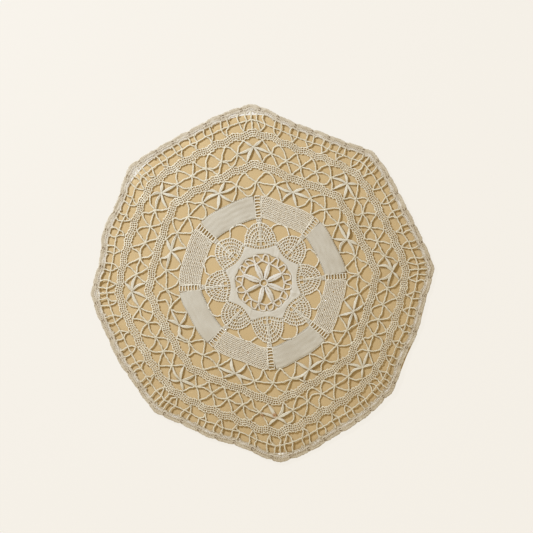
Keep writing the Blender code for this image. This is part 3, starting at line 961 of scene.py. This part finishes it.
def make_open_panel(k):
    """Half stitch: rows of threads along the panel, joined by short slanting bars between each two rows."""
    piece = Piece(f"open_panel_{k // 2 + 1}")
    rng = piece.rng
    track, marks, half = panel_line(k, 1.2)
    level = UNDER_TOP + 0.75
    lines = []
    for row in range(OPEN_ROWS + 1):
        at_edge = row in (0, OPEN_ROWS)
        share = row / OPEN_ROWS * 2 - 1
        across = half * share * (0.97 if at_edge else 1) + ripple(marks, 16, 0.15, rng)
        lines.append(across)
        thick = (0.75 if at_edge else 0.58) + ripple(marks, 9, 0.06, rng)
        height = level + 0.14 * np.sin(TAU * marks / (2 * OPEN_PITCH) + np.pi * row)
        piece.sweep(track, marks, across, height, thick, 0.36, 6)
    for row, (low, high) in enumerate(zip(lines, lines[1:])):
        for start in np.arange(0.5 * (1 + row % 2), track.length / OPEN_PITCH) * OPEN_PITCH:
            if rng.random() < 0.015:
                continue
            lean = 0.3 * (-1) ** row + rng.normal(0, 0.1)
            spots = start + lean * np.array([-1.0, 0.0, 1.0])
            ends = np.interp(start, marks, low), np.interp(start, marks, high)
            bar = Track(track.at(spots, np.linspace(*ends, 3)))
            piece.sweep(bar, bar.steps(1.0), 0.0, level + 0.1, rng.uniform(0.36, 0.52), 0.3, 6)
    for mark in (0.4, track.length - 0.4):
        wide = float(np.interp(mark, marks, half))
        end = Track(track.at(mark + np.zeros(5), np.linspace(-wide, wide, 5)))
        piece.sweep(end, end.steps(1.2), 0.0, level + 0.1, 0.7, 0.4, 6)
    return piece.finish(HALF_STITCH)


class Net:
    """A chain of crossings along a ring, with plaits from each crossing to the rings on both sides."""

    def __init__(self, ring, steps, inside, outside):
        self.ring = ring
        self.steps = steps
        self.inside = inside
        self.outside = outside

    def point(self, k, step, radius_at):
        bearing = along(k, step / self.steps)
        return place(bearing, radius_at(bearing))

    def crossing(self, k, step):
        return self.point(k, step, lambda bearing: ring_radius(self.ring, bearing))

    def low(self, k, step):
        return self.point(k, step, lambda bearing: self.inside(bearing) + 0.9)

    def high(self, k, step):
        return self.point(k, step, lambda bearing: self.outside(bearing) - 0.9)

    def make_plaits(self, piece, k, first, last):
        """Two plaits that weave from side to side between two flowers, and one along the middle."""
        rng = piece.rng
        for start in (0, 1):
            line = []
            for step in range(first, last + 1):
                up = (step - first + start) % 2 == 0
                before = self.low(k, step - 0.5) if up else self.high(k, step - 0.5)
                after = self.high(k, step + 0.5) if up else self.low(k, step + 0.5)
                middle = self.crossing(k, step) + complex(*rng.normal(0, 0.35, 2))
                line += [before, slack(before, middle, self.crossing(k, step - 0.5), rng), middle]
                line.append(slack(after, middle, self.crossing(k, step + 0.5), rng))
            piece.plait([*line, after], 0.3 * start, sway=0.25)
        run = []
        for step in range(first, last + 1):
            run.append(self.crossing(k, step))
            if step < last:
                run.append(bent(run[-1], self.crossing(k, step + 1), rng))
        piece.plait(run, 0.15, sway=0.3)
        for step in range(first, last + 1):
            middle = self.crossing(k, step)
            ahead = (self.crossing(k, step + 0.2) - middle) * 0.16
            piece.leaf(middle - ahead * 2, middle + ahead * 2, 1.4, 0.7, 2, 0.0, 0.35)

    def make_flower(self, piece, k, step):
        middle = self.crossing(k, step)
        tips = [self.high(k, step - 0.5), self.high(k, step + 0.5), self.crossing(k, step + 1)]
        tips += [self.low(k, step + 0.5), self.low(k, step - 0.5), self.crossing(k, step - 1)]
        rng = piece.rng
        for tip in tips:
            long = abs(tip - middle)
            stem = middle + (tip - middle) * 0.96
            piece.leaf(middle, stem, rng.uniform(1.6, 2.2), 0.9, 2, rng.normal(0, 0.08) * long, full=0.85)
            piece.plait([middle + (tip - middle) * 0.8, tip], 0.0, 0.7, sway=0.05)
        knot = [middle + place(turn, 0.8) for turn in range(0, 360, 60)]
        piece.plait(knot, 0.5, 0.8, closed=True, sway=0.05)


def bent(start, end, rng):
    """A point halfway along a plait that bows a little to one side."""
    bow = rng.normal(0, 0.09)
    return (start + end) / 2 + 1j * (end - start) * bow


def slack(pinned, knot, heart, rng):
    """A point halfway along a plait that hangs away from the heart of its opening."""
    middle = (pinned + knot) / 2
    away = middle - heart
    return middle + away / abs(away) * abs(pinned - knot) * rng.normal(0.03, 0.09)


def make_nets():
    half = TRAIL_WIDE / 2
    inner = Net(
        INNER_NET, INNER_STEPS, lambda b: ring_radius(PANEL_OUTER, b), lambda b: inner_trail(b) - half
    )
    outer = Net(
        OUTER_NET, OUTER_STEPS, lambda b: inner_trail(b) + half, lambda b: outer_trail(b) - half
    )
    made = []
    for k in range(SIDES):
        for node, net, first, last in (
            (f"inner_net_{k + 1}", inner, -1, 1),
            (f"outer_net_{k + 1}", outer, 1, OUTER_STEPS - 1),
        ):
            piece = Piece(node)
            net.make_plaits(piece, k, first, last)
            made.append(piece.finish(NET_PLAITS))
        for node, net, step in (
            (f"side_flower_{k + 1}", inner, INNER_STEPS / 2),
            (f"corner_flower_{k + 1}", outer, 0),
        ):
            piece = Piece(node)
            net.make_flower(piece, k, step)
            made.append(piece.finish(NET_LEAVES))
    return made


def make_trail(node, radius_at, points):
    """A mesh braid: four lines of thread joined by bars, with holes between and loops along the edges."""
    piece = Piece(node)
    rng = piece.rng
    track = ring_track(radius_at, points)
    count = 2 * round(track.length / TRAIL_PITCH / 2)
    pitch = track.length / count
    marks = np.arange(4 * count) * pitch / 4
    quarter = np.arange(4 * count)
    level = UNDER_TOP + 1.2
    sway = ripple(marks, 26, 0.4, rng)
    half = TRAIL_WIDE / 2 - 0.85
    tight = 1 + 0.7 * np.clip(ripple(marks, 55, 1.0, rng) - 0.45, 0, 1)
    for row in range(TRAIL_ROWS + 1):
        offset = half * (2 * row / TRAIL_ROWS - 1)
        edge = row in (0, TRAIL_ROWS)
        reach = 0.75 if row == TRAIL_ROWS else 0.95
        lobe = 2 * np.abs(np.sin(np.pi * quarter / 8)) - 0.9 + ripple(marks, 4, 0.25, rng)
        loops = reach * lobe * np.sign(offset) if edge else 0.0
        height = level + 0.14 * np.sin(np.pi * quarter / 2 + row)
        thick = (0.62 if edge else 0.5) * tight
        wide = thick * (1 + 0.12 * np.cos(np.pi * quarter / 2)) + ripple(marks, 7, 0.06, rng)
        every = slice(None) if edge else slice(None, None, 2)
        piece.sweep(track, marks[every], (offset + loops + sway)[every], height[every], wide[every], 0.55, 6)
    q = np.linspace(-1.14, 1.14, 6)
    for i in range(count):
        lean = rng.normal(0, 0.1) * q + rng.normal(0, 0.13)
        at = i * pitch + lean
        shift = np.interp(np.mod(at, track.length), marks, sway)
        bar = Track(track.at(at, q * half + shift))
        spots = bar.steps(1.2)
        rise = level + 0.12 + 0.15 * np.cos(np.pi * 3 * spots / bar.length + i * np.pi)
        piece.sweep(bar, spots, 0.0, rise, 0.4 + rng.uniform(-0.05, 0.12), 0.42, 6)
    return piece.finish(BRAIDS)


def make_edge_net():
    """A ring plait crossed by a V of plaits under every scallop join, and by one plait at each corner."""
    piece = Piece("edge_net")
    rng = piece.rng
    spread = STEP * V_HALF
    ring = []

    def on_line(bearing):
        return place(bearing, ring_radius(EDGE_NET, bearing) + rng.normal(0, 0.5))

    def head(bearing):
        return place(bearing, ring_radius(EDGE, bearing) - edge_width(bearing) + 0.8)

    for k in range(SIDES):
        bearing = corner(k)
        foot = place(bearing, outer_trail(bearing) + TRAIL_WIDE / 2 - 0.5)
        cross = on_line(bearing)
        ring.append(cross)
        piece.plait([foot, bent(foot, cross, rng), cross, head(bearing)], 0.1, sway=0.3)
        for j in range(SCALLOPS):
            middle = along(k, (j + 0.5) / SCALLOPS)
            apex = place(middle, outer_trail(middle) + TRAIL_WIDE / 2 + 0.6)
            for side in (-1, 1):
                cross = on_line(middle + side * spread * rng.uniform(0.85, 1.15))
                ring.append(cross)
                top = head(middle + side * spread * rng.uniform(0.65, 0.9))
                start = apex + (cross - apex) * 0.04
                line = [start, bent(start, cross, rng), cross, bent(cross, top, rng), top]
                piece.plait(line, 0.15 * (side + 1), 0.95, sway=0.2)
    piece.plait(ring, 0.15, 0.95, closed=True, sway=0.3)
    return piece.finish(NET_PLAITS)


def tape_relief(mark, share):
    """A groove along the outer row of small holes."""
    return 0.1 - 0.4 * np.exp(-(((share - 0.76) / 0.06) ** 2))


def make_edge_tape():
    """The scalloped edge: a dense rim, rows of small holes painted by its material as dark shade, and a swag
    that flares where the Vs join.
    """
    piece = Piece("edge_tape")
    rng = piece.rng
    track = ring_track(edge_radius, SIDES * SCALLOPS * 6)
    marks = track.steps(0.75)
    bearing = bearing_of(track.centre(marks))
    turn = (bearing - FIRST_CORNER + 0.01) % 360 / 360
    from_notch = np.abs((turn * SIDES * SCALLOPS) % 1 - 0.5) * SCALLOP_LONG
    past = from_notch - 4.4
    flare = 2.5 * np.exp(-((past / np.where(past > 0, 2.6, 1.4)) ** 2))
    level = UNDER_TOP + 0.9
    rough = ripple(marks, 15, 0.25, rng) + ripple(marks, 4.5, 0.12, rng)
    piece.sweep(track, marks, -0.9 + rough, level, 0.95 + ripple(marks, 5, 0.14, rng), 0.6, 8)
    swag = 0.7 - edge_width(bearing) - flare + ripple(marks, 9, 0.25, rng)
    rows = turn * EDGE_LONG
    piece.cloth(marks, swag, -0.7 + rough, track.at, True, 16, 0.8, 0.16, rows=rows, relief=tape_relief)
    piece.sweep(track, marks, swag + 0.2, level - 0.05, 0.8 + ripple(marks, 6, 0.16, rng), 0.5, 8)
    return piece.finish(TAPE)


# The studio, in metres.
PAPER = (0.9216, 0.8796, 0.8070, 1)
PAPER_BASE = (0.05, 0.048, 0.044, 1)
PAPER_GLOW = 0.94
FLOOR_WIDE = 8
VIEW_WIDE = 0.6929
VIEW_FROM = (0.0034, 0.0213, 2.5)
KEY_FROM = (-0.9, 0.9, 0.98)
KEY_WIDE = 0.3
KEY_ENERGY = 27.0
KEY_COLOUR = (0.76, 0.865, 1.09)
WORLD_COLOUR = (1.0, 0.85, 0.595, 1)
WORLD_STRENGTH = 0.56


def make_studio():
    """A plain paper floor seen from straight above, a cool key light and a warm world.

    The camera sees the world as paper, so that its warm colour is only a light.
    """
    scene = bpy.context.scene
    bpy.ops.mesh.primitive_plane_add(size=FLOOR_WIDE)
    floor = bpy.context.object
    floor.name = "floor"
    paper = bpy.data.materials.new("paper")
    paper.use_nodes = True
    shader = paper.node_tree.nodes["Principled BSDF"]
    tune(shader, Base_Color=PAPER_BASE, Roughness=1.0, Specular_IOR_Level=0.0)
    tune(shader, Emission_Color=PAPER, Emission_Strength=PAPER_GLOW)
    floor.data.materials.append(paper)

    camera = bpy.data.cameras.new("camera")
    camera.type = "ORTHO"
    camera.ortho_scale = VIEW_WIDE
    camera_object = bpy.data.objects.new("camera", camera)
    camera_object.location = VIEW_FROM
    scene.collection.objects.link(camera_object)
    scene.camera = camera_object

    key = bpy.data.lights.new("key", "AREA")
    key.shape = "DISK"
    key.size = KEY_WIDE
    key.energy = KEY_ENERGY
    key.color = KEY_COLOUR
    key_object = bpy.data.objects.new("key", key)
    key_object.location = KEY_FROM
    aim = -key_object.location
    key_object.rotation_mode = "QUATERNION"
    key_object.rotation_quaternion = aim.to_track_quat("-Z", "Y")
    scene.collection.objects.link(key_object)

    world = bpy.data.worlds.new("world")
    world.use_nodes = True
    nodes = world.node_tree.nodes
    links = world.node_tree.links
    warm = nodes["Background"]
    tune(warm, Color=WORLD_COLOUR, Strength=WORLD_STRENGTH)
    seen = nodes.new("ShaderNodeBackground")
    tune(seen, Color=PAPER)
    both = nodes.new("ShaderNodeMixShader")
    links.new(nodes.new("ShaderNodeLightPath").outputs["Is Camera Ray"], both.inputs["Fac"])
    links.new(warm.outputs["Background"], both.inputs[1])
    links.new(seen.outputs["Background"], both.inputs[2])
    links.new(both.outputs["Shader"], nodes["World Output"].inputs["Surface"])
    scene.world = world
    scene.view_settings.view_transform = "Standard"


def plan_area(outer, inner=None):
    """The flat area in square metres between two closed outlines of the plan, as they are laid."""

    def area(outline):
        x, y, _ = lay(outline, np.zeros(len(outline))).T
        return abs(np.dot(x, np.roll(y, -1)) - np.dot(y, np.roll(x, -1))) / 2

    return area(outer) - (area(inner) if inner is not None else 0)


def panel_flat(k):
    """The mean width and the length in metres of one cloth panel, as it is laid."""
    track, marks, half = panel_line(k, PANEL_STEP)
    middle = lay(track.centre(marks), np.zeros(len(marks)))
    length = float(np.linalg.norm(np.diff(middle, axis=0), axis=1).sum())
    edge = np.concatenate([track.at(marks, -half), track.at(marks, half)[::-1]])
    return float(plan_area(edge)) / length, length


def main():
    under = make_under_cloth()
    rest = [make_centre_flower(), make_loop_ring()]
    star = make_star_band()
    panels = []
    for k in range(SIDES):
        rest.append(make_fan(k))
        if k % 2:
            panels.append((make_cloth_panel(k), panel_flat(k)))
        else:
            rest.append(make_open_panel(k))
    rest.append(make_trail("inner_trail", inner_trail, SIDES * 24))
    rest.append(make_trail("outer_trail", outer_trail, SIDES * 36))
    rest += make_nets()
    rest.append(make_edge_net())
    rest.append(make_edge_tape())
    make_studio()

    turns = FIRST_CORNER + np.arange(0, 360, 1.5)
    cloth_edge = place(turns, ring_radius(UNDER_EDGE, turns))
    plan_area(cloth_edge)
    star_area = plan_area(place(turns, star_radius(turns)), place(turns, STAR_HOLE + 0 * turns))
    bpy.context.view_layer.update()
    made = [under, star, *(panel for panel, _ in panels), *rest]
    print("faces", sum(len(obj.data.polygons) for obj in made))


main()
